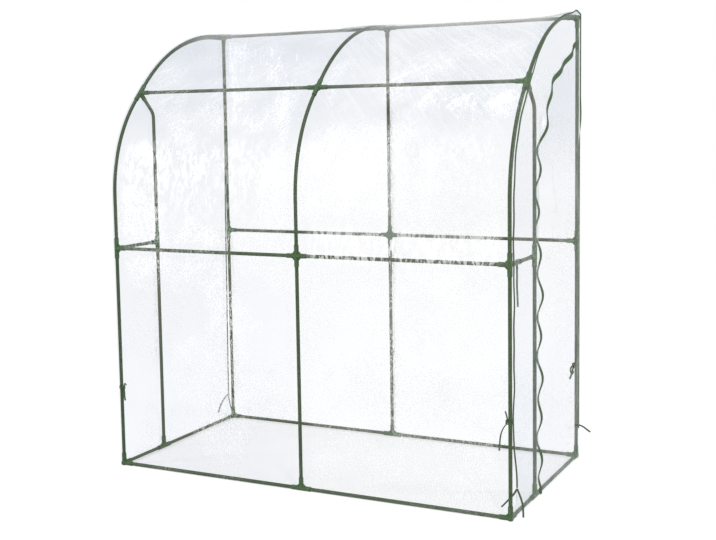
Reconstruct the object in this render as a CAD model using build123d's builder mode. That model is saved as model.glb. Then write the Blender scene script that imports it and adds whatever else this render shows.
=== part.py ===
from build123d import *
from itertools import combinations
from math import cos, radians, sin, tan
import os

os.makedirs("parts", exist_ok=True)

# Overall sizes of the greenhouse, over its cover
overall_width = 1980.0
overall_depth = 1000.0
overall_height = 2112.0

# Coated steel tube of the frame; it repeats, so its round has few sides, and its sealed bore is left solid
tube_diameter = 16.0
tube_sides = 12
mid_rail_drop = 247.2
door_post_reach = 100.5
door_post_bend_radius = 60.0
purlin_lean = 44.8
lower_bow_radius = 642.0
bow_margin = 3.0
ridge_straight = 56.0

# Moulded fittings that the tubes push into
socket_clearance = 0.2
socket_wall = 2.2
socket_length = 48.0
socket_stop = 14.0
tube_end_gap = 0.3
gusset_reach = 31.0
gusset_thickness = 8.0

# Clear film cover and the tape that binds its seams
film_clearance = 0.4
film_thickness = 1.0
binding_clearance = 0.3
binding_thickness = 0.8
binding_width = 14.0
seam_gap = 0.3

# Zip of the door flap in the right end
zip_post_gap = 50.0
zip_turn_drop = 679.0
zip_radius = 450.0
zip_lean = 63.0
zip_tape_width = 26.0
zip_coil_width = 4.0
zip_coil_clearance = 0.3

# Tie tapes, knotted round the frame or left hanging from a seam
tie_width = 8.0
tie_thickness = 0.9
tie_clearance = 0.3
knot_diameter = 9.0
knot_length = 7.5
mid_tie_setback = 121.0
front_tie_height = 411.0
back_tie_height = 453.0
left_tie_height = 365.0
seam_tail_height = 141.0
back_tail_height = 160.0
left_tail_height = 125.0
seam_tail_inset = 9.0
bend_share = 0.45

# Routes of the tape tails: across and up from where each leaves its knot or seam
mid_tie_route = [(0, 0), (3, -46), (1, -92), (4, -140), (5, -184)]
front_tie_route = [(0, 0), (-14, -16), (-27, -43), (-33, -80), (-35, -119)]
back_tie_route = [(0, 0), (-6, -20), (-12, -44), (-20, -67)]
left_tie_route = [(0, 0), (3, -20), (2, -40), (6, -60)]
front_seam_route = [(0, 0), (-9, -26), (-26, -56), (-47, -84)]
side_seam_route = [(0, 0), (10, -20), (22, -45), (34, -80), (38, -116)]
back_seam_route = [(0, 0), (14, -3), (28, -11), (42, -21), (55, -29)]
left_seam_route = [(0, 0), (-22, -14), (-48, -40), (-70, -72), (-86, -104)]

# Distances outwards from a tube's axis
tube_radius = tube_diameter / 2
bore_radius = tube_radius + socket_clearance
socket_radius = bore_radius + socket_wall
film_inside = socket_radius + film_clearance
film_outside = film_inside + film_thickness
binding_inside = film_outside + binding_clearance
binding_outside = binding_inside + binding_thickness
tube_stop = socket_stop + tube_end_gap

# Axes of the frame, from the overall sizes inwards
end_x = overall_width / 2 - binding_outside
front_y = film_outside - overall_depth / 2
back_y = overall_depth / 2 - film_outside
cover_back = back_y + film_outside
ground_z = socket_radius
ridge_z = overall_height - film_outside

# Arch of a lower and an upper bow, straight beside each fitting
lean_sin = sin(radians(purlin_lean))
lean_cos = cos(radians(purlin_lean))
bow_straight = socket_length + bow_margin
purlin_y = front_y + lower_bow_radius * (1 - lean_cos) + bow_straight * lean_sin
upper_bow_radius = (back_y - ridge_straight - purlin_y - bow_straight * lean_sin) / lean_cos
purlin_z = ridge_z - upper_bow_radius * (1 - lean_sin) - bow_straight * lean_cos
arch_start_z = purlin_z - bow_straight * lean_cos - lower_bow_radius * lean_sin

# Mid rails below the arch, the door post behind the purlin, and the zip behind the door post
mid_rail_height = arch_start_z - mid_rail_drop
door_y = purlin_y + door_post_reach
zip_y = door_y + zip_post_gap
zip_turn_height = ridge_z - zip_turn_drop

# Directions of the sockets
right, left = (1, 0, 0), (-1, 0, 0)
rear, front = (0, 1, 0), (0, -1, 0)
up, down = (0, 0, 1), (0, 0, -1)
along_arch = (0, lean_sin, lean_cos)
back_along_arch = (0, -lean_sin, -lean_cos)
under_arch = (0, lean_cos, -lean_sin)


def write_node(name, pieces):
    """Gather a node's solids, label them and write them as one STEP file."""
    with BuildPart() as node:
        add(pieces)
    node.part.label = name
    export_step(node.part, f"parts/{name}.step")


def across(origin, direction):
    """Plane across a tube's direction, square to the frame."""
    run = Vector(*direction)
    return Plane(origin=origin, x_dir=rear if run.X else right, z_dir=run)


def round_section(radius):
    """Section of a tube or socket: a round of few sides, with flats square to the frame."""
    with BuildSketch() as section:
        RegularPolygon(radius, tube_sides, major_radius=False, rotation=180 / tube_sides)
    return section.sketch


def straight_tube(start, end):
    """Tube between two fitting centres, its ends let into their sockets."""
    run = Vector(*end) - Vector(*start)
    first = Vector(*start) + run.normalized() * tube_stop
    with BuildPart() as tube:
        with BuildSketch(across(first, run)):
            add(round_section(tube_radius))
        extrude(amount=run.length - 2 * tube_stop)
    return tube.part


def bent_tube(path):
    """Tube swept along a bent axis."""
    with BuildPart() as tube:
        with BuildSketch(across(path @ 0, path % 0)):
            add(round_section(tube_radius))
        sweep(path=path)
    return tube.part


def lower_bow(x):
    """Lower bow of an arch: up from the mid fitting, then over to the purlin fitting."""
    with BuildLine(Plane.YZ.offset(x)) as axis:
        post = Line((front_y, mid_rail_height + tube_stop), (front_y, arch_start_z))
        bend = JernArc(post @ 1, post % 1, lower_bow_radius, -purlin_lean)
        Line(bend @ 1, bend @ 1 + (bend % 1) * (bow_straight - tube_stop))
    return bent_tube(axis.wire())


def upper_bow(x):
    """Upper bow of an arch: from the purlin fitting over to the ridge fitting."""
    first = (purlin_y + tube_stop * lean_sin, purlin_z + tube_stop * lean_cos)
    second = (purlin_y + bow_straight * lean_sin, purlin_z + bow_straight * lean_cos)
    with BuildLine(Plane.YZ.offset(x)) as axis:
        joint = Line(first, second)
        bend = JernArc(joint @ 1, joint % 1, upper_bow_radius, purlin_lean - 90)
        Line(bend @ 1, bend @ 1 + (bend % 1) * (ridge_straight - tube_stop))
    return bent_tube(axis.wire())


def door_post_top(x):
    """Upper length of a door post, bent forward to meet the arch square at the purlin."""
    reach = (door_y - purlin_y) / lean_cos
    corner_z = purlin_z - reach * lean_sin
    last = (purlin_y + tube_stop * lean_cos, purlin_z - tube_stop * lean_sin)
    with BuildLine(Plane.YZ.offset(x)) as axis:
        FilletPolyline(
            (door_y, mid_rail_height + tube_stop),
            (door_y, corner_z),
            last,
            radius=door_post_bend_radius,
        )
    return bent_tube(axis.wire())


def fitting(centre, directions, cap=0.0):
    """Moulded fitting: a socket in each direction, begun a cap's length behind the centre, with
    gussets between sockets that stand square to each other."""
    with BuildPart() as body:
        for direction in directions:
            with BuildSketch(across(centre, direction).offset(-cap)):
                add(round_section(socket_radius))
            extrude(amount=cap + socket_length)
        for one, other in combinations(directions, 2):
            normal = Vector(*one).cross(Vector(*other))
            if normal.length:
                with BuildSketch(Plane(origin=centre, x_dir=one, z_dir=normal)):
                    with BuildLine():
                        Polyline((0, 0), (gusset_reach, 0), (0, gusset_reach), close=True)
                    make_face()
                extrude(amount=gusset_thickness / 2, both=True)
        for direction in directions:
            with BuildSketch(across(centre, direction).offset(socket_stop)):
                add(round_section(bore_radius))
            extrude(amount=socket_length, mode=Mode.SUBTRACT)
    return body.part


def corner_fitting(centre, directions):
    """Three-way corner fitting, each socket capped flush with the sides of the other two."""
    return fitting(centre, directions, cap=socket_radius)


def end_face(out, back):
    """End elevation under the cover's line, set out from the tube axes, up to a back edge."""
    with BuildSketch() as face:
        with BuildLine():
            post = Line((front_y - out, 0), (front_y - out, arch_start_z))
            lower = JernArc(post @ 1, post % 1, lower_bow_radius + out, -purlin_lean)
            joint = Line(lower @ 1, lower @ 1 + (lower % 1) * (2 * bow_straight))
            upper = JernArc(joint @ 1, joint % 1, upper_bow_radius + out, purlin_lean - 90)
            Polyline(upper @ 1, (back, ridge_z + out), (back, 0), post @ 0)
        make_face()
    return face.sketch


def zip_band(width):
    """Band of a given width along the zip: up the door edge, then over to the back."""
    with BuildSketch() as band:
        with BuildLine() as line:
            rise = Line((zip_y, 0), (zip_y, zip_turn_height))
            bend = JernArc(rise @ 1, rise % 1, zip_radius, -zip_lean)
            Line(bend @ 1, bend @ 1 + (bend % 1) * overall_depth)
        trace(line.wire(), line_width=width)
    return band.sketch


# Frame on the ground
write_node("front_bottom_rails", [
    straight_tube((0, front_y, ground_z), (side * end_x, front_y, ground_z)) for side in (-1, 1)
])
write_node("back_bottom_rails", [
    straight_tube((0, back_y, ground_z), (side * end_x, back_y, ground_z)) for side in (-1, 1)
])
write_node("end_bottom_rails", [
    straight_tube((side * end_x, start, ground_z), (side * end_x, end, ground_z))
    for side in (-1, 1)
    for start, end in ((front_y, door_y), (door_y, back_y))
])
write_node("front_corner_fittings", [
    corner_fitting((side * end_x, front_y, ground_z), ((-side, 0, 0), rear, up)) for side in (-1, 1)
])
write_node("back_corner_fittings", [
    corner_fitting((side * end_x, back_y, ground_z), ((-side, 0, 0), front, up)) for side in (-1, 1)
])
write_node("bottom_tee_fittings", [
    fitting((0, front_y, ground_z), (left, right, up)),
    fitting((0, back_y, ground_z), (left, right, up)),
    fitting((-end_x, door_y, ground_z), (front, rear, up)),
    fitting((end_x, door_y, ground_z), (front, rear, up)),
])

# Posts up to mid height
write_node("front_posts", [
    straight_tube((x, front_y, ground_z), (x, front_y, mid_rail_height)) for x in (-end_x, 0, end_x)
])
write_node("back_lower_posts", [
    straight_tube((x, back_y, ground_z), (x, back_y, mid_rail_height)) for x in (-end_x, 0, end_x)
])
write_node("door_lower_posts", [
    straight_tube((x, door_y, ground_z), (x, door_y, mid_rail_height)) for x in (-end_x, end_x)
])

# Mid-height rails and fittings
write_node("front_mid_rails", [
    straight_tube((0, front_y, mid_rail_height), (x, front_y, mid_rail_height)) for x in (-end_x, end_x)
])
write_node("back_mid_rails", [
    straight_tube((0, back_y, mid_rail_height), (x, back_y, mid_rail_height)) for x in (-end_x, end_x)
])
write_node("end_mid_rails", [
    straight_tube((x, front_y, mid_rail_height), (x, door_y, mid_rail_height)) for x in (-end_x, end_x)
])
write_node("front_mid_fittings", [
    fitting((side * end_x, front_y, mid_rail_height), ((-side, 0, 0), rear, up, down)) for side in (-1, 1)
])
write_node("mid_cross_fittings", [
    fitting((0, y, mid_rail_height), (left, right, up, down)) for y in (front_y, back_y)
])
write_node("back_mid_fittings", [
    fitting((side * end_x, back_y, mid_rail_height), ((-side, 0, 0), up, down)) for side in (-1, 1)
])
write_node("door_mid_fittings", [
    fitting((x, door_y, mid_rail_height), (front, up, down)) for x in (-end_x, end_x)
])

# Upper posts and arches
write_node("back_upper_posts", [
    straight_tube((x, back_y, mid_rail_height), (x, back_y, ridge_z)) for x in (-end_x, 0, end_x)
])
write_node("door_upper_posts", [door_post_top(x) for x in (-end_x, end_x)])
write_node("arches", [bow(x) for x in (-end_x, 0, end_x) for bow in (lower_bow, upper_bow)])

# Purlins and ridge
write_node("purlins", [
    straight_tube((0, purlin_y, purlin_z), (x, purlin_y, purlin_z)) for x in (-end_x, end_x)
])
write_node("purlin_fittings", [
    fitting((-end_x, purlin_y, purlin_z), (right, along_arch, back_along_arch, under_arch)),
    fitting((0, purlin_y, purlin_z), (left, right, along_arch, back_along_arch)),
    fitting((end_x, purlin_y, purlin_z), (left, along_arch, back_along_arch, under_arch)),
])
write_node("ridge_rails", [
    straight_tube((0, back_y, ridge_z), (x, back_y, ridge_z)) for x in (-end_x, end_x)
])
write_node("ridge_fittings", [
    corner_fitting((-end_x, back_y, ridge_z), (right, front, down)),
    fitting((0, back_y, ridge_z), (left, right, front, down)),
    corner_fitting((end_x, back_y, ridge_z), (left, front, down)),
])

# Film over the front and roof, one sheet bent round the arches
panel_inside = end_x + film_inside
panel_outside = end_x + film_outside
with BuildPart() as front_and_roof_film:
    with BuildSketch(Plane.YZ.offset(-panel_inside)):
        add(end_face(film_outside, cover_back))
        add(end_face(film_inside, cover_back), mode=Mode.SUBTRACT)
    extrude(amount=2 * panel_inside)
write_node("front_and_roof_film", front_and_roof_film.part)

# Film at the back, under the roof sheet's edge
with BuildPart() as back_film:
    with BuildSketch():
        with Locations((0, cover_back - film_thickness / 2)):
            Rectangle(2 * panel_inside, film_thickness)
    extrude(amount=ridge_z + film_inside)
write_node("back_film", back_film.part)

# End panels; the right one is parted along the zip
with BuildPart() as left_end_film:
    with BuildSketch(Plane.YZ.offset(-panel_outside)):
        add(end_face(film_outside, cover_back))
    extrude(amount=film_thickness)
write_node("left_end_film", left_end_film.part)

zip_slit = zip_coil_width + 2 * zip_coil_clearance
with BuildPart() as right_end:
    with BuildSketch(Plane.YZ.offset(panel_inside)):
        add(end_face(film_outside, cover_back))
        add(zip_band(zip_slit), mode=Mode.SUBTRACT)
    extrude(amount=film_thickness)
right_panels = right_end.part.solids().sort_by(Axis.Y)
write_node("right_end_film", right_panels[0])
write_node("door_flap_film", right_panels[-1])

# Zip: a tape on each side and the coil between them, in the parting of the film
tape_edge = cover_back - binding_width - seam_gap
with BuildPart() as zip_tapes:
    with BuildSketch(Plane.YZ.offset(end_x + binding_inside)):
        add(zip_band(zip_tape_width))
        add(zip_band(zip_slit), mode=Mode.SUBTRACT)
        add(end_face(film_outside, tape_edge), mode=Mode.INTERSECT)
    extrude(amount=binding_thickness)
write_node("zip_tapes", zip_tapes.part)
with BuildPart() as zip_coil:
    with BuildSketch(Plane.YZ.offset(panel_inside)):
        add(zip_band(zip_coil_width))
        add(end_face(film_outside, tape_edge), mode=Mode.INTERSECT)
    extrude(amount=binding_outside - film_inside)
write_node("zip_coil", zip_coil.part)

# Seam bindings: tape flat on the end panels, along the arch edge and up the back edge
arch_tape_back = cover_back - binding_width - seam_gap
for name, side in (("left_arch_binding", -1), ("right_arch_binding", 1)):
    with BuildPart() as arch_binding:
        with BuildSketch(Plane.YZ.offset(side * (end_x + binding_inside))):
            add(end_face(film_outside, arch_tape_back))
            add(end_face(film_outside - binding_width, arch_tape_back), mode=Mode.SUBTRACT)
        extrude(amount=side * binding_thickness)
    write_node(name, arch_binding.part)
for name, side in (("left_back_binding", -1), ("right_back_binding", 1)):
    with BuildPart() as back_binding:
        with BuildSketch(Plane.YZ.offset(side * (end_x + binding_inside))):
            with Locations((cover_back - binding_width / 2, overall_height / 2)):
                Rectangle(binding_width, overall_height)
        extrude(amount=side * binding_thickness)
    write_node(name, back_binding.part)

# Ties: a turn of tape round a tube, with a knot on the inner side
turn_inside = tube_radius + tie_clearance
knot_seat = turn_inside + tie_thickness / 2
knot_reach = knot_seat + knot_length / 2


def tie_turn(centre, axis, knot_side):
    """Turn of tie tape round a tube, and the knot at its side."""
    with BuildPart() as tie:
        with BuildSketch(across(centre, axis)):
            add(round_section(turn_inside + tie_thickness))
            add(round_section(turn_inside), mode=Mode.SUBTRACT)
        extrude(amount=tie_width / 2, both=True)
        with BuildSketch(across(Vector(*centre) + Vector(*knot_side) * knot_seat, knot_side)):
            add(round_section(knot_diameter / 2))
        extrude(amount=knot_length)
    return tie.part


def bend_radii(points):
    """Largest round that each corner of a route leaves room for beside its shorter run."""
    radii = []
    for before, corner, after in zip(points, points[1:], points[2:]):
        arriving = Vector(*corner) - Vector(*before)
        leaving = Vector(*after) - Vector(*corner)
        half_turn = radians(arriving.get_angle(leaving)) / 2
        radii.append(bend_share * min(arriving.length, leaving.length) / tan(half_turn))
    return radii


def tape_tail(name, plane, route, pen, sweep_width):
    """Loose end of tape along its route: a stroke in the route's plane, given its other width."""
    radii = bend_radii(route)
    print(name, "bends", [round(radius) for radius in radii])
    with BuildPart() as tail:
        with BuildSketch(plane):
            with BuildLine() as line:
                FilletPolyline(*route, radius=radii)
            trace(line.wire(), line_width=pen)
        extrude(amount=sweep_width / 2, both=True)
    write_node(name, tail.part)


ties = (
    ("mid_tie_tail", (end_x, front_y + mid_tie_setback, mid_rail_height), rear, left, mid_tie_route),
    ("front_tie_tail", (end_x, front_y, front_tie_height), up, left, front_tie_route),
    ("back_tie_tail", (end_x, back_y, back_tie_height), up, left, back_tie_route),
    ("left_tie_tail", (-end_x, front_y, left_tie_height), up, right, left_tie_route),
)
write_node("tie_turns", [tie_turn(centre, axis, side) for _, centre, axis, side, _ in ties])

# Tails of the knotted ties, hanging under their knots
tail_drop = Vector(0, 0, knot_diameter / 2 + tie_clearance)
for name, centre, axis, side, route in ties:
    under_knot = Vector(*centre) + Vector(*side) * knot_reach - tail_drop
    tape_tail(name, Plane(origin=under_knot, x_dir=right, z_dir=front), route, tie_thickness, tie_width)

# Tails that the seam bindings end in, on the outside of the cover
tail_off = tie_clearance + tie_thickness / 2
tail_x = end_x + binding_outside + tail_off
tail_y = front_y - film_outside - tail_off
front_seam_y = front_y - film_outside + seam_tail_inset
back_seam_y = cover_back - seam_tail_inset
tape_tail(
    "front_seam_tail",
    Plane(origin=(panel_inside - tie_width / 2, tail_y, seam_tail_height), x_dir=right, z_dir=front),
    front_seam_route, tie_width, tie_thickness,
)
tape_tail(
    "side_seam_tail",
    Plane(origin=(tail_x, front_seam_y, seam_tail_height), x_dir=right, z_dir=front),
    side_seam_route, tie_thickness, tie_width,
)
tape_tail(
    "back_seam_tail",
    Plane(origin=(tail_x, back_seam_y, back_tail_height), x_dir=right, z_dir=front),
    back_seam_route, tie_thickness, tie_width,
)
tape_tail(
    "left_seam_tail",
    Plane(origin=(-tail_x, back_seam_y, left_tail_height), x_dir=right, z_dir=front),
    left_seam_route, tie_thickness, tie_width,
)
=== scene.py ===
import bpy
import numpy as np
from mathutils import Matrix, Vector


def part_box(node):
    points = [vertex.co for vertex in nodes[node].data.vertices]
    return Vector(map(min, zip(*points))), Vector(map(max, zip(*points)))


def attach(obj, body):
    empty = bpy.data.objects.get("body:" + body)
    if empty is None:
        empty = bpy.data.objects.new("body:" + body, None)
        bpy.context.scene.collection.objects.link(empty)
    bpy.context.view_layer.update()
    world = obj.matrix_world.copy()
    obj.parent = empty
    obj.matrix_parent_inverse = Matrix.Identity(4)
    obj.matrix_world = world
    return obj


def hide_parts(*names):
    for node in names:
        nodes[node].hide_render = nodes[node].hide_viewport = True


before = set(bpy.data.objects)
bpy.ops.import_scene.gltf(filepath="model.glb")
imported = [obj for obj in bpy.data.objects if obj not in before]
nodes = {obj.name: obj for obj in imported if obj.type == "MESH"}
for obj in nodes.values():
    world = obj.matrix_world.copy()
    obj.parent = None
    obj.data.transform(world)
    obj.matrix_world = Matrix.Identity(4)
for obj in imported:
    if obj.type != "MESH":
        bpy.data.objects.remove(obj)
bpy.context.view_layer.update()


# Viewpoint
# The greenhouse is seen from in front and to the right, from a little above the purlin's middle.
# The lens is long, so that the posts stay nearly parallel.
picture_width = 716
lens_pixels = 1151.45
picture_drop = -36.2
film_gate = 36.0
camera_place = Vector((2.4643, -4.8492, 1.6271))
camera_turn = np.radians(-26.3728)
camera_dip = np.radians(-5.5021)
camera_roll = np.radians(-0.8986)

view_line = Vector((
    np.sin(camera_turn) * np.cos(camera_dip),
    np.cos(camera_turn) * np.cos(camera_dip),
    np.sin(camera_dip),
))
level_right = Vector((np.cos(camera_turn), -np.sin(camera_turn), 0))
level_up = level_right.cross(view_line)
camera_right = np.cos(camera_roll) * level_right + np.sin(camera_roll) * level_up
camera_up = np.cos(camera_roll) * level_up - np.sin(camera_roll) * level_right
camera_data = bpy.data.cameras.new("camera")
camera_data.sensor_width = film_gate
camera_data.lens = lens_pixels * film_gate / picture_width
camera_data.shift_y = picture_drop / picture_width
camera = bpy.data.objects.new("camera", camera_data)
turn = Matrix((camera_right, camera_up, -view_line)).transposed()
camera.matrix_world = Matrix.Translation(camera_place) @ turn.to_4x4()
bpy.context.scene.collection.objects.link(camera)
bpy.context.scene.camera = camera


# Frame tubes
# Thin steel tube with a baked green coat, pushed into the fittings. The coat is satin, with a fine
# orange peel and paler, rubbed streaks along the tube.
tube_nodes = (
    "front_bottom_rails", "back_bottom_rails", "end_bottom_rails",
    "front_posts", "back_lower_posts", "door_lower_posts",
    "front_mid_rails", "back_mid_rails", "end_mid_rails",
    "back_upper_posts", "door_upper_posts", "arches", "purlins", "ridge_rails",
)


class Shade:
    """A material's node tree, or one socket of it; arithmetic on sockets adds Math nodes."""

    def __init__(self, tree, socket=None):
        self.tree = tree
        self.socket = socket

    def node(self, kind, settings={}, inputs={}, output=0):
        """Add a node, give it its settings, then its sockets' values or links; returns one output."""
        made = self.tree.nodes.new(kind)
        for name, value in settings.items():
            if name == "stops":
                for stop, (place, level) in zip(made.color_ramp.elements, value):
                    stop.position = place
                    stop.color = (level, level, level, 1)
            else:
                setattr(made, name, value)
        for name, value in inputs.items():
            if isinstance(value, Shade):
                self.tree.links.new(value.socket, made.inputs[name])
            else:
                made.inputs[name].default_value = value
        return Shade(self.tree, made.outputs[output] if made.outputs else None)

    def maths(self, operation, *values):
        """One Math node on these values."""
        return self.node("ShaderNodeMath", {"operation": operation}, dict(enumerate(values)))

    def tint(self, low, high):
        """Colour between two colours, by this socket's value."""
        return self.node(
            "ShaderNodeMix", {"data_type": "RGBA"}, {0: self, 6: low, 7: high}, output=2
        )

    def __add__(self, other):
        return self.maths("ADD", self, other)

    def __sub__(self, other):
        return self.maths("SUBTRACT", self, other)

    def __mul__(self, other):
        return self.maths("MULTIPLY", self, other)

    def __pow__(self, other):
        return self.maths("POWER", self, other)

    def __radd__(self, other):
        return self.maths("ADD", other, self)

    def __rsub__(self, other):
        return self.maths("SUBTRACT", other, self)

    def __rmul__(self, other):
        return self.maths("MULTIPLY", other, self)


def new_material(name):
    """An empty material, and its tree ready for nodes."""
    material = bpy.data.materials.new(name)
    material.use_nodes = True
    material.node_tree.nodes.clear()
    return material, Shade(material.node_tree)


def paint(red, green, blue):
    """A colour of the picture, in steps of 0 to 255, as linear light."""
    steps = np.array((red, green, blue)) / 255
    light = np.where(steps > 0.04045, ((steps + 0.055) / 1.055) ** 2.4, steps / 12.92)
    return (*light.tolist(), 1.0)


def dress(names, material):
    """Give CAD nodes a material in place of their plain one."""
    for name in names:
        nodes[name].data.materials.clear()
        nodes[name].data.materials.append(material)


coated_steel, tree = new_material("green_coated_steel")
place = tree.node("ShaderNodeTexCoord", output="Object")
streaks = tree.node("ShaderNodeTexNoise", {}, {
    "Vector": place, "Scale": 14.0, "Detail": 4.0, "Roughness": 0.6,
})
peel = tree.node("ShaderNodeTexNoise", {}, {"Vector": place, "Scale": 700.0, "Detail": 1.0})
rubbed = tree.node("ShaderNodeTexNoise", {}, {
    "Vector": place, "Scale": 55.0, "Detail": 6.0, "Distortion": 1.2,
})
worn = tree.node("ShaderNodeValToRGB", {"stops": ((0.58, 0.0), (0.78, 1.0))}, {"Fac": rubbed})
shade = streaks.tint(paint(48, 66, 32), paint(63, 82, 44))
shade = (worn * 0.35).tint(shade, paint(92, 112, 78))
relief = tree.node("ShaderNodeBump", {}, {"Height": peel, "Strength": 0.12, "Distance": 0.0004})
coat = tree.node("ShaderNodeBsdfPrincipled", {}, {
    "Base Color": shade, "Roughness": 0.36 + rubbed * 0.18, "Normal": relief,
})
tree.node("ShaderNodeOutputMaterial", {}, {"Surface": coat})
dress(tube_nodes, coated_steel)


# Fittings
# Injection-moulded green plastic sockets with gussets in their inner corners. The skin is a fine
# spark grain, a little brighter than the tubes, with paler scuffs.
fitting_nodes = (
    "front_corner_fittings", "back_corner_fittings", "bottom_tee_fittings", "front_mid_fittings",
    "mid_cross_fittings", "back_mid_fittings", "door_mid_fittings", "purlin_fittings", "ridge_fittings",
)
moulded_plastic, tree = new_material("moulded_green_plastic")
place = tree.node("ShaderNodeTexCoord", output="Object")
flow = tree.node("ShaderNodeTexNoise", {}, {
    "Vector": place, "Scale": 30.0, "Detail": 3.0, "Distortion": 0.8,
})
grain = tree.node("ShaderNodeTexNoise", {}, {"Vector": place, "Scale": 1600.0, "Detail": 2.0})
shade = flow.tint(paint(52, 80, 38), paint(66, 98, 50))
relief = tree.node("ShaderNodeBump", {}, {"Height": grain, "Strength": 0.25, "Distance": 0.0003})
skin = tree.node("ShaderNodeBsdfPrincipled", {}, {
    "Base Color": shade, "Roughness": 0.46 + flow * 0.16, "Normal": relief,
})
tree.node("ShaderNodeOutputMaterial", {}, {"Surface": skin})
dress(fitting_nodes, moulded_plastic)


# Clear film
# Thin clear plastic film, a faint blue where it is looked along, and tinted grey-blue where it faces
# upward and in patches marked on each piece. On the roof the tint is thinned in slanting streaks, a
# painted highlight for the glints of the folds; towards the foot of the cover it is stronger, a painted
# shade for the shaded floor seen through it. It has been folded for its box, so it is full of small
# creases, which catch the lamps and whiten where they are sharp.
clear_film, tree = new_material("creased_clear_film")
place = tree.node("ShaderNodeTexCoord", output="Object")
slanted = tree.node("ShaderNodeMapping", {}, {
    "Vector": place, "Rotation": (0.5, 0.35, 0.6), "Scale": (1.0, 1.0, 0.42),
})
crumple = tree.node("ShaderNodeTexNoise", {}, {
    "Vector": slanted, "Scale": 22.0, "Detail": 3.0, "Distortion": 1.6,
})
glints = tree.node("ShaderNodeTexNoise", {}, {
    "Vector": slanted, "Scale": 95.0, "Detail": 2.0, "Distortion": 1.1,
})
patches = tree.node("ShaderNodeTexNoise", {}, {"Vector": place, "Scale": 3.4, "Detail": 2.0})
laid = tree.node("ShaderNodeUVMap", {"uv_map": "laid_flat"})
slack = tree.node("ShaderNodeAttribute", {"attribute_name": "slack"}, {}, output="Fac")
clouded = tree.node("ShaderNodeAttribute", {"attribute_name": "clouded"}, {}, output="Fac")
flecked = tree.node("ShaderNodeAttribute", {"attribute_name": "flecked"}, {}, output="Fac")
outward = tree.node("ShaderNodeNewGeometry", output="Normal")
upward = tree.node("ShaderNodeSeparateXYZ", {}, {"Vector": outward}, output="Z") ** 2.0
sideways = tree.node("ShaderNodeSeparateXYZ", {}, {"Vector": place}, output="X")
bay_share = sideways * 0.5 + 0.5
right_bay = tree.node("ShaderNodeValToRGB", {"stops": ((0.42, 0.0), (0.62, 1.0))}, {"Fac": bay_share})
drawn = tree.node("ShaderNodeMapping", {"vector_type": "TEXTURE"}, {
    "Vector": laid, "Rotation": (0, 0, np.radians(40)), "Scale": (0.42, 0.020, 1.0),
})
streaks = tree.node("ShaderNodeTexNoise", {}, {
    "Vector": drawn, "Scale": 1.0, "Detail": 2.0, "Distortion": 0.7,
})
crossed = tree.node("ShaderNodeMapping", {"vector_type": "TEXTURE"}, {
    "Vector": laid, "Rotation": (0, 0, np.radians(-48)), "Scale": (0.30, 0.016, 1.0),
})
scores = tree.node("ShaderNodeTexNoise", {}, {
    "Vector": crossed, "Scale": 1.0, "Detail": 2.0, "Distortion": 0.9,
})
streaked = tree.node("ShaderNodeValToRGB", {"stops": ((0.46, 0.0), (0.64, 1.0))}, {"Fac": streaks})
scored = tree.node("ShaderNodeValToRGB", {"stops": ((0.56, 0.0), (0.70, 1.0))}, {"Fac": scores})
glint_ridge = 1 - tree.maths("ABSOLUTE", glints * 2 - 1)
sharp = tree.node("ShaderNodeValToRGB", {"stops": ((0.90, 0.0), (0.97, 1.0))}, {"Fac": glint_ridge})
clustered = tree.node("ShaderNodeValToRGB", {"stops": ((0.44, 0.0), (0.58, 1.0))}, {"Fac": patches})
# Painted highlights: where these slanting streaks lie, the film takes less of its grey-blue tint, so
# lighter streaks stand in for the glints of its folds.
painted_glint_streaks = tree.maths("MAXIMUM", streaked * right_bay, scored * clustered)
creased = tree.maths("MAXIMUM", sharp * clustered * (1 - upward * 0.8), scored * clustered * 0.3)
dashes = tree.node("ShaderNodeTexNoise", {}, {
    "Vector": slanted, "Scale": 52.0, "Detail": 2.0, "Distortion": 0.8,
})
broken = tree.node("ShaderNodeValToRGB", {"stops": ((0.46, 0.0), (0.54, 1.0))}, {"Fac": dashes})
whitened = tree.maths("MAXIMUM", creased * (0.06 + slack * 0.94), broken * flecked)
relief = tree.node("ShaderNodeBump", {}, {
    "Height": crumple + glints * 0.12 + streaks * 0.5, "Strength": 0.5, "Distance": 0.004,
})
facing = tree.node("ShaderNodeLayerWeight", {}, {"Blend": 0.5}, output="Facing")
tilted = tree.node("ShaderNodeLayerWeight", {}, {"Blend": 0.5, "Normal": relief}, output="Facing")
mirror_share = 0.004 + slack * (0.053 + right_bay * 0.11) + tilted ** 5.0 * 0.45
seen_through = tree.node("ShaderNodeBsdfTransparent", {}, {"Color": (0.998, 0.998, 0.999, 1)})
seen_along = tree.node("ShaderNodeBsdfTransparent", {}, {"Color": (0.922, 0.936, 0.957, 1)})
pane = tree.node("ShaderNodeMixShader", {}, {0: facing, 1: seen_through, 2: seen_along})
# The grey-blue tint, mixed in by how much the film faces upward and by each piece's clouded mark; it is
# thinned in the right bay and in the painted glint streaks.
grey_tint = tree.node("ShaderNodeBsdfTransparent", {}, {"Color": (0.74, 0.78, 0.845, 1)})
tint_and_painted_light = upward * (0.95 - painted_glint_streaks * 0.55 - right_bay * 0.2) + clouded
pane = tree.node("ShaderNodeMixShader", {}, {0: tint_and_painted_light, 1: pane, 2: grey_tint})
gloss = tree.node("ShaderNodeBsdfGlossy", {}, {"Color": (1, 1, 1, 1), "Roughness": 0.14, "Normal": relief})
pane = tree.node("ShaderNodeMixShader", {}, {0: mirror_share, 1: pane, 2: gloss})
bright_crease = tree.node("ShaderNodeBsdfGlossy", {}, {"Color": (1, 1, 1, 1), "Roughness": 0.5})
pane = tree.node("ShaderNodeMixShader", {}, {0: whitened * 0.8, 1: pane, 2: bright_crease})
tree.node("ShaderNodeOutputMaterial", {}, {"Surface": pane})


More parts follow.
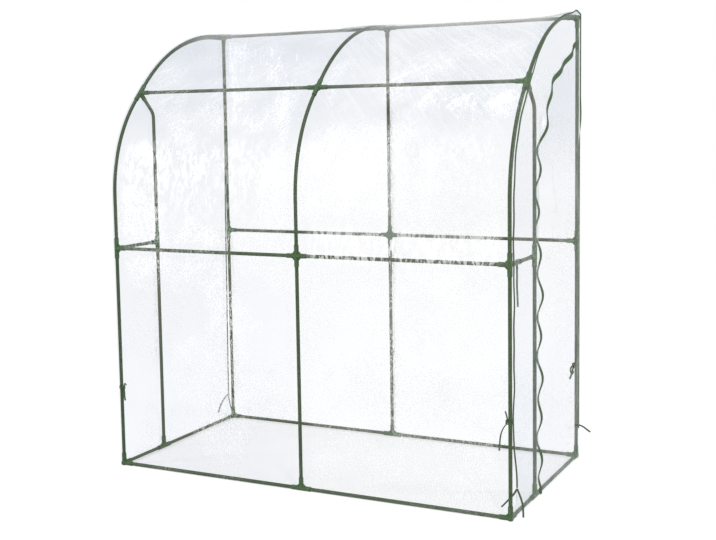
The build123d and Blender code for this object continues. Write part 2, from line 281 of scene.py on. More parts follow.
# Cover over the front and roof
# One sheet of film, bent round the arches from the ground at the front to the ridge at the back. It
# lies on the fittings, bags a little between the arches, and lifts in a corner at the back right.
low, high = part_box("front_posts")
tube_radius = (high.y - low.y) / 2
end_x = high.x - tube_radius
front_y = low.y + tube_radius
low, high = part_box("ridge_rails")
ridge_z = (low.z + high.z) / 2
back_y = (low.y + high.y) / 2
cover_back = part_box("back_film")[1].y
low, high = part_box("front_mid_rails")
mid_z = (low.z + high.z) / 2
low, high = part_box("purlins")
purlin_y = (low.y + high.y) / 2
purlin_z = (low.z + high.z) / 2
bow_straight = 0.051
ridge_straight = 0.056
purlin_lean = np.radians(44.8)
film_off = 0.0113
film_hug = 0.0092
corner_x = end_x + film_off
bow_y = bow_straight * np.sin(purlin_lean)
bow_z = bow_straight * np.cos(purlin_lean)
lower_radius = (purlin_y - bow_y - front_y) / (1 - np.cos(purlin_lean))
upper_radius = (back_y - ridge_straight - purlin_y - bow_y) / np.cos(purlin_lean)
arch_start_z = purlin_z - bow_z - lower_radius * np.sin(purlin_lean)
purlin_run = arch_start_z + lower_radius * purlin_lean + bow_straight
upper_start = purlin_run + bow_straight
ridge_run = upper_start + upper_radius * (np.pi / 2 - purlin_lean) + ridge_straight
cover_length = ridge_run + cover_back - back_y
film_foot = 0.002
fitting_reach = 0.06
fitting_fade = 0.13
seam_stand = 0.0058
seam_wave_height = 0.0012
seam_wave_length = 0.43
seam_ripple_height = 0.0008
seam_ripple_length = 0.17
seam_foot_rise = 0.12
seam_top_start = 0.85
seam_top_end = 0.40
seam_tie_z = 0.42
seam_tie_grip = 0.09
foot_flare = 0.011
flare_rise = 0.10
flare_top = 0.14
flare_end = 0.36
peak_lift = 0.013
peak_inset = 0.07
peak_width = 0.05


def turned_line(run, heading, start_y, start_z):
    """Line in the end elevation: the running sum of small steps, each in its own heading from upright."""
    middle = (heading[1:] + heading[:-1]) / 2
    step = np.diff(run)
    y = start_y + np.concatenate(([0], np.cumsum(step * np.sin(middle))))
    z = start_z + np.concatenate(([0], np.cumsum(step * np.cos(middle))))
    return y, z


def cover_line(count):
    """Line of the arches: upright, then two bends with a straight at the purlin, then level."""
    run = np.linspace(film_foot, cover_length, count)
    lower_turn = np.clip((run - arch_start_z) / lower_radius, 0, purlin_lean)
    upper_turn = np.clip((run - upper_start) / upper_radius, 0, np.pi / 2 - purlin_lean)
    heading = lower_turn + upper_turn
    y, z = turned_line(run, heading, front_y, film_foot)
    return run, y, z, heading


def ease(value, start, end):
    """Smooth rise from 0 at start to 1 at end."""
    share = np.clip((value - start) / (end - start), 0, 1)
    return share * share * (3 - 2 * share)


def seat(run):
    """How far the film lies from the axis of an arch: close on the tube, further out over the fittings."""
    joint_runs = np.array((film_foot, mid_z, purlin_run, cover_length))
    joint_gap = np.abs(run[:, None] - joint_runs).min(axis=1)
    return film_off + (film_hug - film_off) * ease(joint_gap, fitting_reach, fitting_fade)


def creases(along, across, seed, height):
    """Height of the film's folds: the sum of slanting waves, each strong only in patches of its own,
    pressed so that it never falls below the frame."""
    fold_lengths = (0.10, 0.38)
    patch_lengths = (0.5, 1.3)
    random = np.random.default_rng(seed)
    shape = (18, 1, 1)
    slant = random.uniform(-1.0, 1.0, shape)
    length = random.uniform(*fold_lengths, shape)
    phase = random.uniform(0, 2 * np.pi, shape)
    patch = random.uniform(*patch_lengths, shape)
    patch_phase = random.uniform(0, 2 * np.pi, shape)
    travel = across * np.cos(slant) + along * np.sin(slant)
    drift = along * np.cos(slant) - across * np.sin(slant)
    strength = (0.5 + 0.5 * np.sin(2 * np.pi * drift / patch + patch_phase)) ** 2
    folds = (strength * length * np.sin(2 * np.pi * travel / length + phase)).sum(axis=0)
    folds = folds / folds.std()
    return height * (folds + np.sqrt(folds ** 2 + 0.6)) / 2


def grid_piece(name, points, material, **marks):
    """A surface from a grid of points, with its lengths along and across the grid as its UV map. Marks
    are values of 0 to 1 kept at the points: for film, how slack, clouded and flecked it is."""
    rows, columns = points.shape[:2]
    corner = np.arange(rows * columns).reshape(rows, columns)
    faces = np.stack((corner[:-1, :-1], corner[1:, :-1], corner[1:, 1:], corner[:-1, 1:]), axis=-1)
    mesh = bpy.data.meshes.new(name)
    mesh.from_pydata(points.reshape(-1, 3).tolist(), [], faces.reshape(-1, 4).tolist())
    along = np.linalg.norm(np.diff(points, axis=0), axis=2).cumsum(axis=0)
    across = np.linalg.norm(np.diff(points, axis=1), axis=2).cumsum(axis=1)
    along = np.concatenate((np.zeros((1, columns)), along))
    across = np.concatenate((np.zeros((rows, 1)), across), axis=1)
    laid = np.stack((along, across), axis=-1).reshape(-1, 2)
    lay = mesh.uv_layers.new(name="laid_flat")
    lay.data.foreach_set("uv", laid[faces.reshape(-1)].reshape(-1))
    for mark, values in marks.items():
        layer = mesh.attributes.new(mark, "FLOAT", "POINT")
        layer.data.foreach_set("value", np.broadcast_to(values, (rows, columns)).reshape(-1))
    mesh.shade_smooth()
    mesh.materials.append(material)
    piece = bpy.data.objects.new(name, mesh)
    bpy.context.scene.collection.objects.link(piece)
    return piece


def fit(piece, slot, *replaced):
    """The piece rides with the frame and stands for CAD nodes; its slot is not used."""
    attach(piece, "root")
    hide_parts(*replaced)


def right_seam(run):
    """How far the right seam stands out beyond the frame's corner, sideways and upwards: a little loose
    along its length, held in at the tie, flared at the foot, with a lifted peak at the back."""
    waves = seam_wave_height * np.sin(2 * np.pi * run / seam_wave_length + 0.4)
    waves = waves + seam_ripple_height * np.sin(2 * np.pi * run / seam_ripple_length)
    top = ease(run, cover_length - seam_top_start, cover_length - seam_top_end)
    held = np.exp(-((run - seam_tie_z) / seam_tie_grip) ** 2)
    flare = ease(run, 0, flare_rise) * (1 - ease(run, flare_top, flare_end))
    loose = ease(run, 0, seam_foot_rise) * (seam_stand + waves) * (1 - 0.9 * top) * (1 - 0.8 * held)
    lift = peak_lift * np.exp(-((run - cover_length + peak_inset) / peak_width) ** 2)
    return loose + foot_flare * flare, lift


cover_rows = 330
cover_columns = 250
cover_fold_height = 0.0024
seam_edge_share = 0.93
sewn_edge_share = 0.985
peak_edge_share = 0.84
ridge_fade_start = 0.30
ridge_fade_end = 0.06
roof_bag = 0.026
front_bag = 0.008
bag_reach = 0.28
run, line_y, line_z, heading = cover_line(cover_rows)
seam_out, seam_lift = right_seam(run)
across = np.linspace(1, -1, cover_columns)
run_grid = run[:, None] + 0 * across
half_width = corner_x + seam_out[:, None] * ease(across, seam_edge_share, 1)
x = across * half_width
near_ridge = ease(run, cover_length - ridge_fade_start, cover_length - ridge_fade_end)[:, None]
free = (1 - ease(np.abs(across), sewn_edge_share, 1)) * (1 - 0.9 * near_ridge)
arch_gap = np.abs(np.abs(across) * end_x - np.array((0, end_x))[:, None]).min(axis=0)
on_arch = 1 - ease(arch_gap, fitting_reach, fitting_fade)
off = film_hug + (seat(run)[:, None] - film_hug) * on_arch
off = off + creases(run_grid, x, 11, cover_fold_height) * free
upper_share = np.clip((run - purlin_run) / (ridge_run - purlin_run), 0, 1)[:, None]
lower_share = np.clip((run - mid_z) / (purlin_run - mid_z), 0, 1)[:, None]
bag = roof_bag * np.sin(np.pi * upper_share) + front_bag * np.sin(np.pi * lower_share) ** 2
off = off - bag * ease(arch_gap, 0, bag_reach) + seam_lift[:, None] * ease(across, peak_edge_share, 1)
y = line_y[:, None] - np.cos(heading)[:, None] * off
z = line_z[:, None] + np.sin(heading)[:, None] * off

arch_touch = 0.015
arch_clear = 0.10
rail_touch = 0.02
rail_clear = 0.07
bay_change = (-0.30, 0.20)
purlin_shade_z = 1.67
purlin_shade_width = 0.09
calm_below = (0.3, 1.0)
painted_shade_fade = (0.7, 1.2)
cloud_top = (1.70, 1.80)
fleck_z = 1.10
fleck_width = 0.075
fleck_start = 0.12
upper_fleck_start = (1.12, 1.25)
upper_fleck_end = (1.50, 1.62)
fleck_clear = (0.03, 0.10)
rail_gap = np.abs(run[:, None] - np.array((film_foot, mid_z))).min(axis=1)[:, None]
purlin_gap = np.abs(run[:, None] - purlin_run)
slack = ease(arch_gap, arch_touch, arch_clear) * (0.3 + 0.7 * ease(rail_gap, rail_touch, rail_clear))
slack = slack * (0.6 + 0.4 * ease(purlin_gap, rail_touch, rail_clear))
left_bay = 1 - ease(x, *bay_change)
below_purlin = np.exp(-((z - purlin_shade_z) / purlin_shade_width) ** 2) * (1 - left_bay)
slack = slack * (1 - 0.92 * below_purlin) * (0.5 + 0.5 * ease(z, *calm_below))
# Painted shade: the grey-blue tint marked on the cover grows by half towards its foot, standing in for the
# shaded floor seen through the film. It is also stronger in the left bay, gone at the very top, and adds a
# band below the purlin in the right bay.
clouded = (0.05 + 0.10 * left_bay) * (1.5 - 0.5 * ease(z, *painted_shade_fade)) * (1 - ease(z, *cloud_top))
clouded = clouded + 0.12 * below_purlin
along_rails = 0.9 * np.exp(-((z - fleck_z) / fleck_width) ** 2) * ease(x, 0, fleck_start)
above_rails = 0.20 * ease(z, *upper_fleck_start) * (1 - ease(z, *upper_fleck_end))
flecked = np.maximum(along_rails, above_rails) * ease(arch_gap, *fleck_clear)
points = np.stack((x, y, z), axis=-1)
cover = grid_piece(
    "front_and_roof_cover", points, clear_film, slack=slack, clouded=clouded, flecked=flecked,
)
fit(cover, "film", "front_and_roof_film")


# Back panel
# A flat sheet of film behind the posts, sewn to the roof sheet's edge and to the two ends. It hangs
# slack, with shallow folds.
back_rows = 200
back_columns = 190
back_fold_height = 0.0022
sewn_reach = 0.06
foot_reach = 0.05
upper_flare = 0.012
upper_flare_span = (0.9, 1.7)
lower_flare = 0.008
lower_flare_span = (0.15, 1.0)
flare_foot = 0.12


def left_flare(height):
    """How far the left back seam stands out from the post: not at the top, more and more lower down,
    and drawn back to the post at the foot."""
    loose = upper_flare * (1 - ease(height, *upper_flare_span))
    loose = loose + lower_flare * (1 - ease(height, *lower_flare_span))
    return loose * ease(height, 0, flare_foot)


height = np.linspace(film_foot, ridge_z + film_hug, back_rows)[:, None]
share = np.linspace(0, 1, back_columns)[None, :]
across = (1 - share) * (-corner_x - left_flare(height)) + share * corner_x
slack = ease(corner_x - np.abs(across), 0, sewn_reach) * ease(height, 0, foot_reach)
slack = slack * ease(ridge_z - height, 0, sewn_reach)
back_off = creases(height, across, 23, back_fold_height) * slack
points = np.stack(np.broadcast_arrays(across, cover_back + back_off, height), axis=-1)
back_panel = grid_piece("back_panel", points, clear_film, slack=slack, clouded=0.07)
fit(back_panel, "film", "back_film")


# Left end panel
# Film cut to the arch's outline, sewn to the cover along the arch and to the back panel. Its lower
# back edge has worked loose and stands out from the post.
end_rows = 300
end_columns = 110
end_fold_height = 0.0024
edge_reach = 0.05
run, line_y, line_z, heading = cover_line(end_rows)
edge_y = line_y - np.cos(heading) * seat(run)
edge_z = line_z + np.sin(heading) * seat(run)
share = np.linspace(0, 1, end_columns)[None, :]
y = edge_y[:, None] * (1 - share) + cover_back * share
z = edge_z[:, None] + 0 * share
reach = cover_back - edge_y[:, None]
free = ease(share * reach, 0, edge_reach) * ease((1 - share) * reach, 0, edge_reach)
near_back = 1 - ease((1 - share) * reach, 0, sewn_reach)
x = -corner_x - creases(z, y, 31, end_fold_height) * free - left_flare(z) * near_back
points = np.stack((x, y, z), axis=-1)
left_panel = grid_piece("left_end_panel", points, clear_film, slack=0.4 * free, clouded=0.09)
fit(left_panel, "film", "left_end_film")


# Right end panel and door flap
# The right end is parted by a zip, which runs up behind the door post and then over to the back. The
# zip is longer than the film it is sewn to, so the film stands in waves beside it.
zip_post_gap = 0.05
zip_turn_drop = 0.679
zip_radius = 0.45
zip_lean = np.radians(63.0)
zip_wave = 0.18
zip_wave_start = 0.156
zip_wave_height = 0.0105
zip_sway = 0.41
zip_sway_height = 0.004
zip_foot_hold = 0.08
zip_top_hold = 0.15
zip_calm = (1.45, 1.75)
tuck_depth = 0.017
tuck_z = 1.26
tuck_width = 0.13
bulge_height = 0.012
bulge_z = 1.62
bulge_width = 0.06
lower_tuck = 0.006
lower_tuck_end = (1.4, 1.7)
low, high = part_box("door_lower_posts")
door_y = (low.y + high.y) / 2
zip_y = door_y + zip_post_gap
zip_turn_z = ridge_z - zip_turn_drop
zip_bend_end_y = zip_y + zip_radius * (1 - np.cos(zip_lean))
zip_length = zip_turn_z + zip_radius * zip_lean + (cover_back - zip_bend_end_y) / np.sin(zip_lean)


def zip_line(count, end):
    """Line of the zip: upright, then one long bend, then straight up to the back edge; the waves
    come out of the panel, and the whole line is drawn in above the mid rail."""
    run = np.linspace(film_foot, end, count)
    heading = np.clip((run - zip_turn_z) / zip_radius, 0, zip_lean)
    y, z = turned_line(run, heading, zip_y, film_foot)
    held = ease(run, 0, zip_foot_hold) * ease(zip_length - run, 0, zip_top_hold)
    swing = zip_wave_height * np.cos(2 * np.pi * (run - zip_wave_start) / zip_wave)
    swing = swing * (1 - 0.5 * ease(run, *zip_calm))
    swing = swing + zip_sway_height * np.sin(2 * np.pi * run / zip_sway + 0.7)
    drawn_in = tuck_depth * np.exp(-((z - tuck_z) / tuck_width) ** 2)
    drawn_in = drawn_in - bulge_height * np.exp(-((z - bulge_z) / bulge_width) ** 2)
    out = held * (swing - drawn_in - lower_tuck * (1 - ease(z, *lower_tuck_end)))
    return run, y, z, out


flap_rows = 300
strip_columns = 60
flap_columns = 80
strip_fold_height = 0.0022
strip_wave_reach = 0.040
flap_fold_height = 0.0045
flap_wave_reach = 0.16
foot_cloud = (0.5, 0.75)
top_cloud = (1.30, 1.65)
run, zip_path_y, zip_path_z, zip_out = zip_line(flap_rows, zip_length)
line_run, line_y, line_z, heading = cover_line(flap_rows)
seam_out, seam_lift = right_seam(line_run)
edge_y = line_y - np.cos(heading) * (seat(line_run) + seam_lift)
edge_z = line_z + np.sin(heading) * (seat(line_run) + seam_lift)

share = np.linspace(0, 1, strip_columns)[None, :]
y = zip_path_y[:, None] * (1 - share) + edge_y[:, None] * share
z = zip_path_z[:, None] * (1 - share) + edge_z[:, None] * share
reach = np.hypot(edge_y - zip_path_y, edge_z - zip_path_z)[:, None]
near_zip = 1 - ease(share * reach, 0, strip_wave_reach)
near_edge = 1 - ease((1 - share) * reach, 0, edge_reach)
folds = creases(z, y, 43, strip_fold_height) * (1 - near_zip) * (1 - near_edge)
x = corner_x + zip_out[:, None] * near_zip + seam_out[:, None] * near_edge + folds
clouded = 0.22 + 0.15 * (1 - ease(z, *foot_cloud))
slack = 0.10 * (1 - near_edge)
points = np.stack((x, y, z), axis=-1)
right_panel = grid_piece("right_end_panel", points, clear_film, slack=slack, clouded=clouded)
fit(right_panel, "film", "right_end_film")

share = np.linspace(0, 1, flap_columns)[None, :]
y = cover_back * (1 - share) + zip_path_y[:, None] * share
z = zip_path_z[:, None] + 0 * share
reach = (cover_back - zip_path_y)[:, None]
near_zip = 1 - ease((1 - share) * reach, 0, flap_wave_reach)
near_back = 1 - ease(share * reach, 0, edge_reach)
folds = creases(z, y, 47, flap_fold_height) * (1 - near_zip) * (1 - near_back)
x = corner_x + zip_out[:, None] * near_zip + folds
clouded = 0.60 * ease(z, *top_cloud) + 0.20 * (1 - ease(z, *foot_cloud))
slack = 0.10 * (1 - near_back) + 0.04
points = np.stack((x, y, z), axis=-1)
door_flap = grid_piece("door_flap", points, clear_film, slack=slack, clouded=clouded)
fit(door_flap, "film", "door_flap_film")

end_area = float(np.trapz(cover_back - edge_y, edge_z))
flap_area = float(np.trapz(cover_back - zip_path_y, zip_path_z))


# Seam bindings
# Woven green tape folded over the raw edges of the film and sewn through, so that it stands out from
# the corner as a soft fin. On the left it has been pushed flat on the end panel.
woven_tape, tree = new_material("woven_green_tape")
laid = tree.node("ShaderNodeUVMap", {"uv_map": "laid_flat"})
warp = tree.node("ShaderNodeTexWave", {"bands_direction": "Y"}, {"Vector": laid, "Scale": 420.0})
weft = tree.node("ShaderNodeTexWave", {"bands_direction": "X"}, {"Vector": laid, "Scale": 300.0})
fade = tree.node("ShaderNodeTexNoise", {}, {"Vector": laid, "Scale": 38.0, "Detail": 4.0})
weave = warp * weft
shade = (fade * 0.6 + weave * 0.4).tint(paint(52, 74, 44), paint(92, 116, 78))
relief = tree.node("ShaderNodeBump", {}, {"Height": weave, "Strength": 0.5, "Distance": 0.0004})
cloth = tree.node("ShaderNodeBsdfPrincipled", {}, {
    "Base Color": shade, "Roughness": 0.85, "Normal": relief,
})
tree.node("ShaderNodeOutputMaterial", {}, {"Surface": cloth})

binding_thickness = 0.0012
fin_width = 0.007
flat_width = 0.012
flat_inset = 0.004
binding_foot = 0.141
fin_tilt = np.radians(14)
fin_sway = 0.47
fin_sway_tilt = np.radians(8)
fin_lie_tilt = np.radians(66)
fin_lie_start = 1.75
fin_lie_end = 0.2
corner_rise = 0.006
corner_lean = np.radians(-36)
corner_fold = np.radians(216)
fin_fold = (1.45, 1.75)
fin_inset = 0.001
fold_out = 0.0025
left_fin_inset = 0.0005
left_seam_foot = 0.02


def tape(name, path, across, width, thickness, material):
    """Flat tape: at each point of its path a short line of its width, then given its thickness."""
    lanes = np.linspace(0.5, -0.5, 5) * width
    points = path[:, None, :] + across[:, None, :] * lanes[None, :, None]
    piece = grid_piece(name, points, material)
    body = piece.modifiers.new("thickness", "SOLIDIFY")
    body.thickness = thickness
    body.offset = 0
    return piece


binding_rows = 420
whole_line = np.stack(cover_line(binding_rows))
run, line_y, line_z, heading = whole_line[:, whole_line[0] > binding_foot]
seam_out, seam_lift = right_seam(run)
out_y, out_z = -np.cos(heading), np.sin(heading)
tilt = fin_tilt + fin_sway_tilt * np.sin(2 * np.pi * run / fin_sway + 1.1)
tilt = tilt + fin_lie_tilt * ease(run, fin_lie_start, cover_length - fin_lie_end)
fin = np.stack((np.cos(tilt), np.sin(tilt) * out_y, np.sin(tilt) * out_z), axis=-1)
edge = seat(run) + seam_lift
seam = np.stack((corner_x + seam_out, line_y + out_y * edge, line_z + out_z * edge), axis=-1)
right_arch_tape = tape(
    "right_arch_binding_tape", seam + fin * fin_width / 2, fin, fin_width, binding_thickness, woven_tape
)
fit(right_arch_tape, "binding", "right_arch_binding")

run, line_y, line_z, heading = whole_line
out_y, out_z = -np.cos(heading), np.sin(heading)
inner = -flat_width / 2 - flat_inset
flat_x = 0 * run - corner_x - binding_thickness
path = np.stack((flat_x, line_y + out_y * inner, line_z + out_z * inner), axis=-1)
across = np.stack((0 * run, out_y, out_z), axis=-1)
left_arch_tape = tape("left_arch_binding_tape", path, across, flat_width, binding_thickness, woven_tape)
fit(left_arch_tape, "binding", "left_arch_binding")

corner_rows = 160
corner_height = np.linspace(binding_foot, ridge_z + film_off + corner_rise, corner_rows)
still = 0 * corner_height
folded = 1 - ease(corner_height, *fin_fold)
lean = corner_lean + corner_fold * folded
across = np.stack((np.cos(lean), np.sin(lean), still), axis=-1)
path = np.stack((still + corner_x, cover_back - fin_inset + fold_out * folded, corner_height), axis=-1)
path = path + across * fin_width / 2
right_back_tape = tape("right_back_binding_tape", path, across, fin_width, binding_thickness, woven_tape)
fit(right_back_tape, "binding", "right_back_binding")

corner_height = np.linspace(left_seam_foot, ridge_z, corner_rows)
seam_x = -corner_x - left_flare(corner_height) - fin_width / 2
path = np.stack((seam_x, still + cover_back - left_fin_inset, corner_height), axis=-1)
across = np.stack((still - 1, still, still), axis=-1)
left_back_tape = tape("left_back_binding_tape", path, across, fin_width, binding_thickness, woven_tape)
fit(left_back_tape, "binding", "left_back_binding")


# Zip
# A coil zip on two woven tapes, sewn along the parting of the right end. It is closed, and it waves
# with the slack film beside it.
zip_tape_width = 0.026
zip_tape_thickness = 0.0009
coil_radius = 0.0021
coil_pitch = 0.004
zip_off = 0.0016
zip_twist = np.radians(2)
zip_top_gap = 0.075
zip_rows = 760
run, path_y, path_z, out = zip_line(zip_rows, zip_length - zip_top_gap)
path = np.stack((corner_x + zip_off + out, path_y, path_z), axis=-1)
along = np.gradient(path, axis=0)
along = along / np.linalg.norm(along, axis=1, keepdims=True)
twist = zip_twist * np.cos(2 * np.pi * (run - zip_wave_start) / zip_wave)
outward = np.array((1.0, 0.0, 0.0))
sideways = np.cross(along, outward)
sideways = sideways / np.linalg.norm(sideways, axis=1, keepdims=True)
face = np.cross(sideways, along)
sideways, face = (
    sideways * np.cos(twist)[:, None] + face * np.sin(twist)[:, None],
    face * np.cos(twist)[:, None] - sideways * np.sin(twist)[:, None],
)
zip_tape = tape("zip_tape", path, sideways, zip_tape_width, zip_tape_thickness, woven_tape)
fit(zip_tape, "binding", "zip_tapes")

dyed_nylon, tree = new_material("dyed_zip_nylon")
place = tree.node("ShaderNodeTexCoord", output="Object")
fleck = tree.node("ShaderNodeTexNoise", {}, {"Vector": place, "Scale": 260.0, "Detail": 2.0})
shade = fleck.tint(paint(46, 68, 42), paint(70, 96, 62))
nylon = tree.node("ShaderNodeBsdfPrincipled", {}, {
    "Base Color": shade, "Roughness": 0.35 + fleck * 0.2,
})
tree.node("ShaderNodeOutputMaterial", {}, {"Surface": nylon})


def ribbed_bead(name, path, sideways, face, radius, pitch, material):
    """Coil of the zip: a half-round carried along its path, swelling once for each turn of the coil."""
    steps = np.concatenate(([0], np.linalg.norm(np.diff(path, axis=0), axis=1).cumsum()))
    fine = np.arange(0, steps[-1], pitch / 4)
    centre, side, rise = (
        np.stack([np.interp(fine, steps, part[:, axis]) for axis in range(3)], axis=-1)
        for part in (path, sideways, face)
    )
    swell = radius * (1 + 0.22 * np.cos(2 * np.pi * fine / pitch))
    angle = np.linspace(0, 2 * np.pi, 7)
    ring = side[:, None, :] * np.cos(angle)[None, :, None]
    ring = ring + rise[:, None, :] * np.sin(angle)[None, :, None]
    return grid_piece(name, centre[:, None, :] + ring * swell[:, None, None], material)


zip_coil = ribbed_bead("zip_coil_bead", path, sideways, face, coil_radius, coil_pitch, dyed_nylon)
fit(zip_coil, "zip", "zip_coil")


# Ties
# Lengths of the same tape, knotted round the posts and the end rail to hold the cover, and loose ends
# left at the feet of the seams. They hang limp and twist as they hang.
tie_width = 0.008
tie_thickness = 0.0009
tie_clearance = 0.0003
knot_reach = 0.0125
knot_drop = 0.0048
mid_tie_y = front_y + 0.121
front_tie_z = 0.411
back_tie_z = 0.453
left_tie_z = 0.383
seam_off_x = end_x + 0.01365
back_seam_y = cover_back - 0.009
back_split_z = 0.160
split_x = corner_x + float(right_seam(np.array([binding_foot]))[0][0]) + fin_width / 2
front_split_y = front_y - 0.0125
side_split_y = front_y - 0.0105
left_split_y = cover_back - 0.002
left_split_z = 0.128
left_split_x = -corner_x - float(left_flare(left_split_z)) - fin_width / 2
level = np.array((1.0, 0.0, 0.0))
upward = np.array((0.0, 0.0, 1.0))
over = np.cross(level, upward)

# Where each tail leaves its knot or seam, its route as steps right and up from there, and its twist in
# degrees at its start and end.
tail_routes = {
    "mid_tie_tail": (
        (end_x - knot_reach, mid_tie_y, mid_z - knot_drop),
        ((0, 0), (0.003, -0.046), (0.001, -0.092), (0.004, -0.140), (0.005, -0.184)), (25, 5),
    ),
    "front_tie_tail": (
        (end_x - knot_reach, front_y, front_tie_z - knot_drop),
        ((0, 0), (-0.014, -0.016), (-0.027, -0.043), (-0.033, -0.080), (-0.035, -0.119)), (75, 50),
    ),
    "back_tie_tail": (
        (end_x - knot_reach, back_y, back_tie_z - knot_drop),
        ((0, 0), (-0.006, -0.020), (-0.012, -0.044), (-0.020, -0.067)), (40, 10),
    ),
    "left_tie_tail": (
        (knot_reach - end_x, front_y, left_tie_z - knot_drop),
        ((0, 0), (0.003, -0.020), (0.002, -0.040), (0.006, -0.060)), (60, 20),
    ),
    "front_seam_tail": (
        (split_x, front_split_y, binding_foot),
        ((0, 0), (-0.012, -0.024), (-0.038, -0.052), (-0.066, -0.084)), (20, 40),
    ),
    "side_seam_tail": (
        (split_x, side_split_y, binding_foot),
        ((0, 0), (0.012, -0.026), (0.022, -0.055), (0.026, -0.085), (0.026, -0.116)), (30, 10),
    ),
    "back_seam_tail": (
        (seam_off_x, back_seam_y, back_split_z),
        ((0, 0), (0.014, -0.003), (0.028, -0.011), (0.042, -0.021), (0.055, -0.029)), (50, 20),
    ),
    "left_seam_tail": (
        (left_split_x, left_split_y, left_split_z),
        ((0, 0), (-0.018, -0.016), (-0.040, -0.044), (-0.060, -0.080), (-0.070, -0.114)), (50, 30),
    ),
}


def spline_points(route):
    """Points along the smooth spline that a route's points control."""
    curve = bpy.data.curves.new("route", "CURVE")
    curve.dimensions = "3D"
    curve.resolution_u = 10
    spline = curve.splines.new("NURBS")
    spline.points.add(len(route) - 1)
    weighted = np.concatenate((route, np.ones((len(route), 1))), axis=1)
    spline.points.foreach_set("co", weighted.reshape(-1))
    spline.order_u = 3
    spline.use_endpoint_u = True
    holder = bpy.data.objects.new("route", curve)
    mesh = bpy.data.meshes.new_from_object(holder)
    points = np.empty(3 * len(mesh.vertices))
    mesh.vertices.foreach_get("co", points)
    bpy.data.objects.remove(holder)
    bpy.data.meshes.remove(mesh)
    bpy.data.curves.remove(curve)
    return points.reshape(-1, 3)


for name, (leave, steps, twist) in tail_routes.items():
    steps = np.array(steps)
    path = spline_points(np.array(leave) + steps[:, :1] * level + steps[:, 1:] * upward)
    along = np.gradient(path, axis=0)
    along = along / np.linalg.norm(along, axis=1, keepdims=True)
    in_plane = np.cross(along, over)
    angle = np.radians(np.linspace(*twist, len(path)))[:, None]
    width_way = in_plane * np.cos(angle) + over * np.sin(angle)
    tail = tape(f"{name}_tape", path, width_way, tie_width, tie_thickness, woven_tape)
    fit(tail, "binding", name)

turn_radius = tube_radius + tie_clearance + tie_thickness
wrap_gap = 0.0005
wrap_growth = 0.0004
wrap_slant = 0.0026
stub_facing = np.array((0.35, 0.9, 0.2))

# Each knot's place on its tube, the tube's line, the side the knot is on, its size, and its stub's route.
knot_spots = (
    (
        (end_x, mid_tie_y, mid_z), (0, 1, 0), (-1, 0, 0), 0.0034,
        ((0, 0, 0), (0.002, 0.005, -0.016), (0.001, 0.008, -0.036)),
    ),
    (
        (end_x, front_y, front_tie_z), (0, 0, 1), (-1, 0, 0), 0.0047,
        ((0, 0, 0), (0.002, -0.002, 0.016), (-0.008, -0.003, 0.044)),
    ),
    (
        (end_x, back_y, back_tie_z), (0, 0, 1), (-1, 0, 0), 0.0055,
        (
            (0, 0, 0), (-0.014, 0.002, -0.010), (-0.019, 0.004, -0.034),
            (-0.008, 0.002, -0.052), (-0.001, 0, -0.030),
        ),
    ),
    (
        (-end_x, front_y, left_tie_z), (0, 0, 1), (1, 0, 0), 0.0045,
        ((0, 0, 0), (0.004, 0, 0.014), (0.010, 0, 0.020), (0.016, 0, 0.010)),
    ),
)
for number, (centre, axis, side, knot_size, stub) in enumerate(knot_spots, 1):
    centre, axis, side = (np.array(value, float) for value in (centre, axis, side))
    round_way = np.cross(axis, side)
    angle = np.linspace(0, 4 * np.pi, 97)[:, None]
    swell = turn_radius + wrap_gap + wrap_growth * angle / np.pi
    slope = wrap_slant * np.sin(angle / 2)
    turns = centre + swell * (np.cos(angle) * side + np.sin(angle) * round_way) + slope * axis
    lengthways = np.broadcast_to(axis, turns.shape)
    wrap = tape(f"tie_wrap_{number}", turns, lengthways, tie_width, tie_thickness, woven_tape)
    fit(wrap, "binding", "tie_turns")
    loop = np.linspace(0, 2 * np.pi, 73)[:, None]
    spread = np.sin(loop) + 2 * np.sin(2 * loop)
    rise = np.cos(loop) - 2 * np.cos(2 * loop)
    depth = -np.sin(3 * loop)
    middle = centre + side * knot_reach
    path = middle + knot_size * (0.7 * spread * round_way + 0.8 * rise * axis + 1.1 * depth * side)
    along = np.gradient(path, axis=0)
    width_way = np.cross(along, path - middle)
    width_way = width_way / np.linalg.norm(width_way, axis=1, keepdims=True)
    knot = tape(f"tie_knot_{number}", path, width_way, 1.6 * knot_size, tie_thickness, woven_tape)
    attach(knot, "root")
    stub_path = spline_points(middle + np.array(stub))
    along = np.gradient(stub_path, axis=0)
    width_way = np.cross(along, stub_facing)
    width_way = width_way / np.linalg.norm(width_way, axis=1, keepdims=True)
    stub_end = tape(f"tie_stub_{number}", stub_path, width_way, tie_width, tie_thickness, woven_tape)
    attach(stub_end, "root")


# Light and ground
# A white studio: soft lamps on both sides and above, bright and small enough to glint in the film, a
# white floor that keeps real shadows and has a painted shade inside the frame, and a white background.
# Each lamp has its place, the point that it faces, its width, its depth and its power.
lamp_places = {
    "key_lamp": ((3.6, -4.2, 4.2), (0, 0, 1.1), 0.7, 1.4, 75),
    "left_lamp": ((-4.4, -3.2, 2.6), (0, 0, 1.1), 0.7, 1.6, 65),
    "top_lamp": ((0.3, -1.4, 5.2), (0, 0, 1.0), 1.8, 0.7, 60),
    "right_lamp": ((4.6, 0.8, 2.4), (0, 0, 1.1), 0.6, 1.6, 40),
}


def eye_rays(tree):
    """1 on rays from the eye, straight, mirrored or through something clear, and 0 on all others."""
    straight = tree.node("ShaderNodeLightPath", output="Is Camera Ray")
    mirrored = tree.node("ShaderNodeLightPath", output="Is Glossy Ray")
    passed = tree.node("ShaderNodeLightPath", output="Is Transmission Ray")
    return tree.maths("MAXIMUM", straight, tree.maths("MAXIMUM", mirrored, passed))


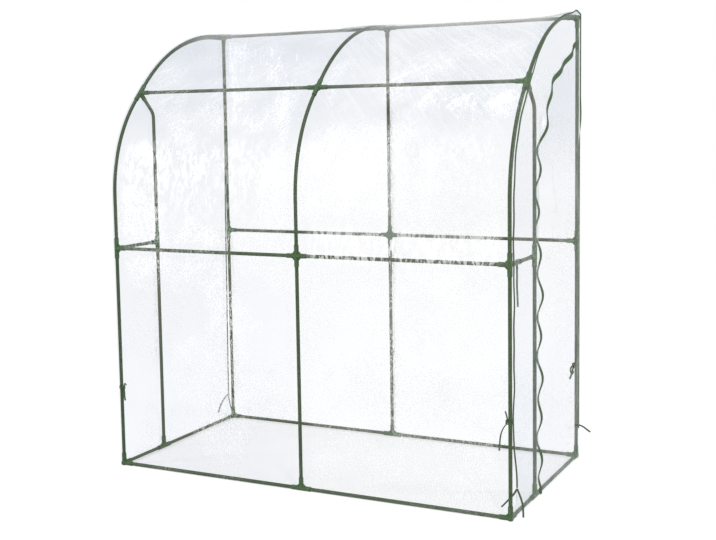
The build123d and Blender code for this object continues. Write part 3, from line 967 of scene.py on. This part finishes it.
for name, (place, target, width, depth, power) in lamp_places.items():
    light = bpy.data.lights.new(name, "AREA")
    light.shape = "RECTANGLE"
    light.size = width
    light.size_y = depth
    light.energy = power
    lamp = bpy.data.objects.new(name, light)
    lamp.location = place
    lamp.rotation_euler = (Vector(target) - Vector(place)).to_track_quat("-Z", "Y").to_euler()
    bpy.context.scene.collection.objects.link(lamp)

ground_size = 14.0
ground_drop = 0.0005
ground_side = np.linspace(-ground_size, ground_size, 2)
ground_points = np.stack(np.meshgrid(ground_side, ground_side, -ground_drop, indexing="ij"), axis=-1)
ground_points = ground_points[:, :, 0]
white_floor, tree = new_material("white_floor")
seen = eye_rays(tree)
lit = tree.node("ShaderNodeBsdfDiffuse", {}, {"Color": (0.92, 0.92, 0.92, 1)})
bright = tree.node("ShaderNodeEmission", {}, {"Color": (1, 1, 1, 1), "Strength": 1.12})
place = tree.node("ShaderNodeTexCoord", output="Object")
ahead = tree.node("ShaderNodeSeparateXYZ", {}, {"Vector": place}, output="Y")
aside = tree.node("ShaderNodeSeparateXYZ", {}, {"Vector": place}, output="X")
# Painted shade: inside the frame's footprint the floor shows less of its white glow and more of its lit
# face, so it reads greyer, as if in the cover's shadow.
painted_shade_box = tree.maths("COMPARE", aside, 0.0, end_x) * tree.maths("COMPARE", ahead, 0.0, back_y)
floor_face = tree.node("ShaderNodeMixShader", {}, {0: seen * (0.8 - painted_shade_box * 0.40), 1: lit, 2: bright})
tree.node("ShaderNodeOutputMaterial", {}, {"Surface": floor_face})
grid_piece("ground", ground_points, white_floor)

world = bpy.data.worlds.new("white_studio")
bpy.context.scene.world = world
world.use_nodes = True
world.node_tree.nodes.clear()
tree = Shade(world.node_tree)
seen = eye_rays(tree)
sky = tree.node("ShaderNodeBackground", {}, {"Color": (1, 1, 1, 1), "Strength": 0.6})
backdrop = tree.node("ShaderNodeBackground", {}, {"Color": (1, 1, 1, 1), "Strength": 1.0})
around = tree.node("ShaderNodeMixShader", {}, {0: seen, 1: sky, 2: backdrop})
tree.node("ShaderNodeOutputWorld", {}, {"Surface": around})
bpy.context.scene.view_settings.view_transform = "Standard"
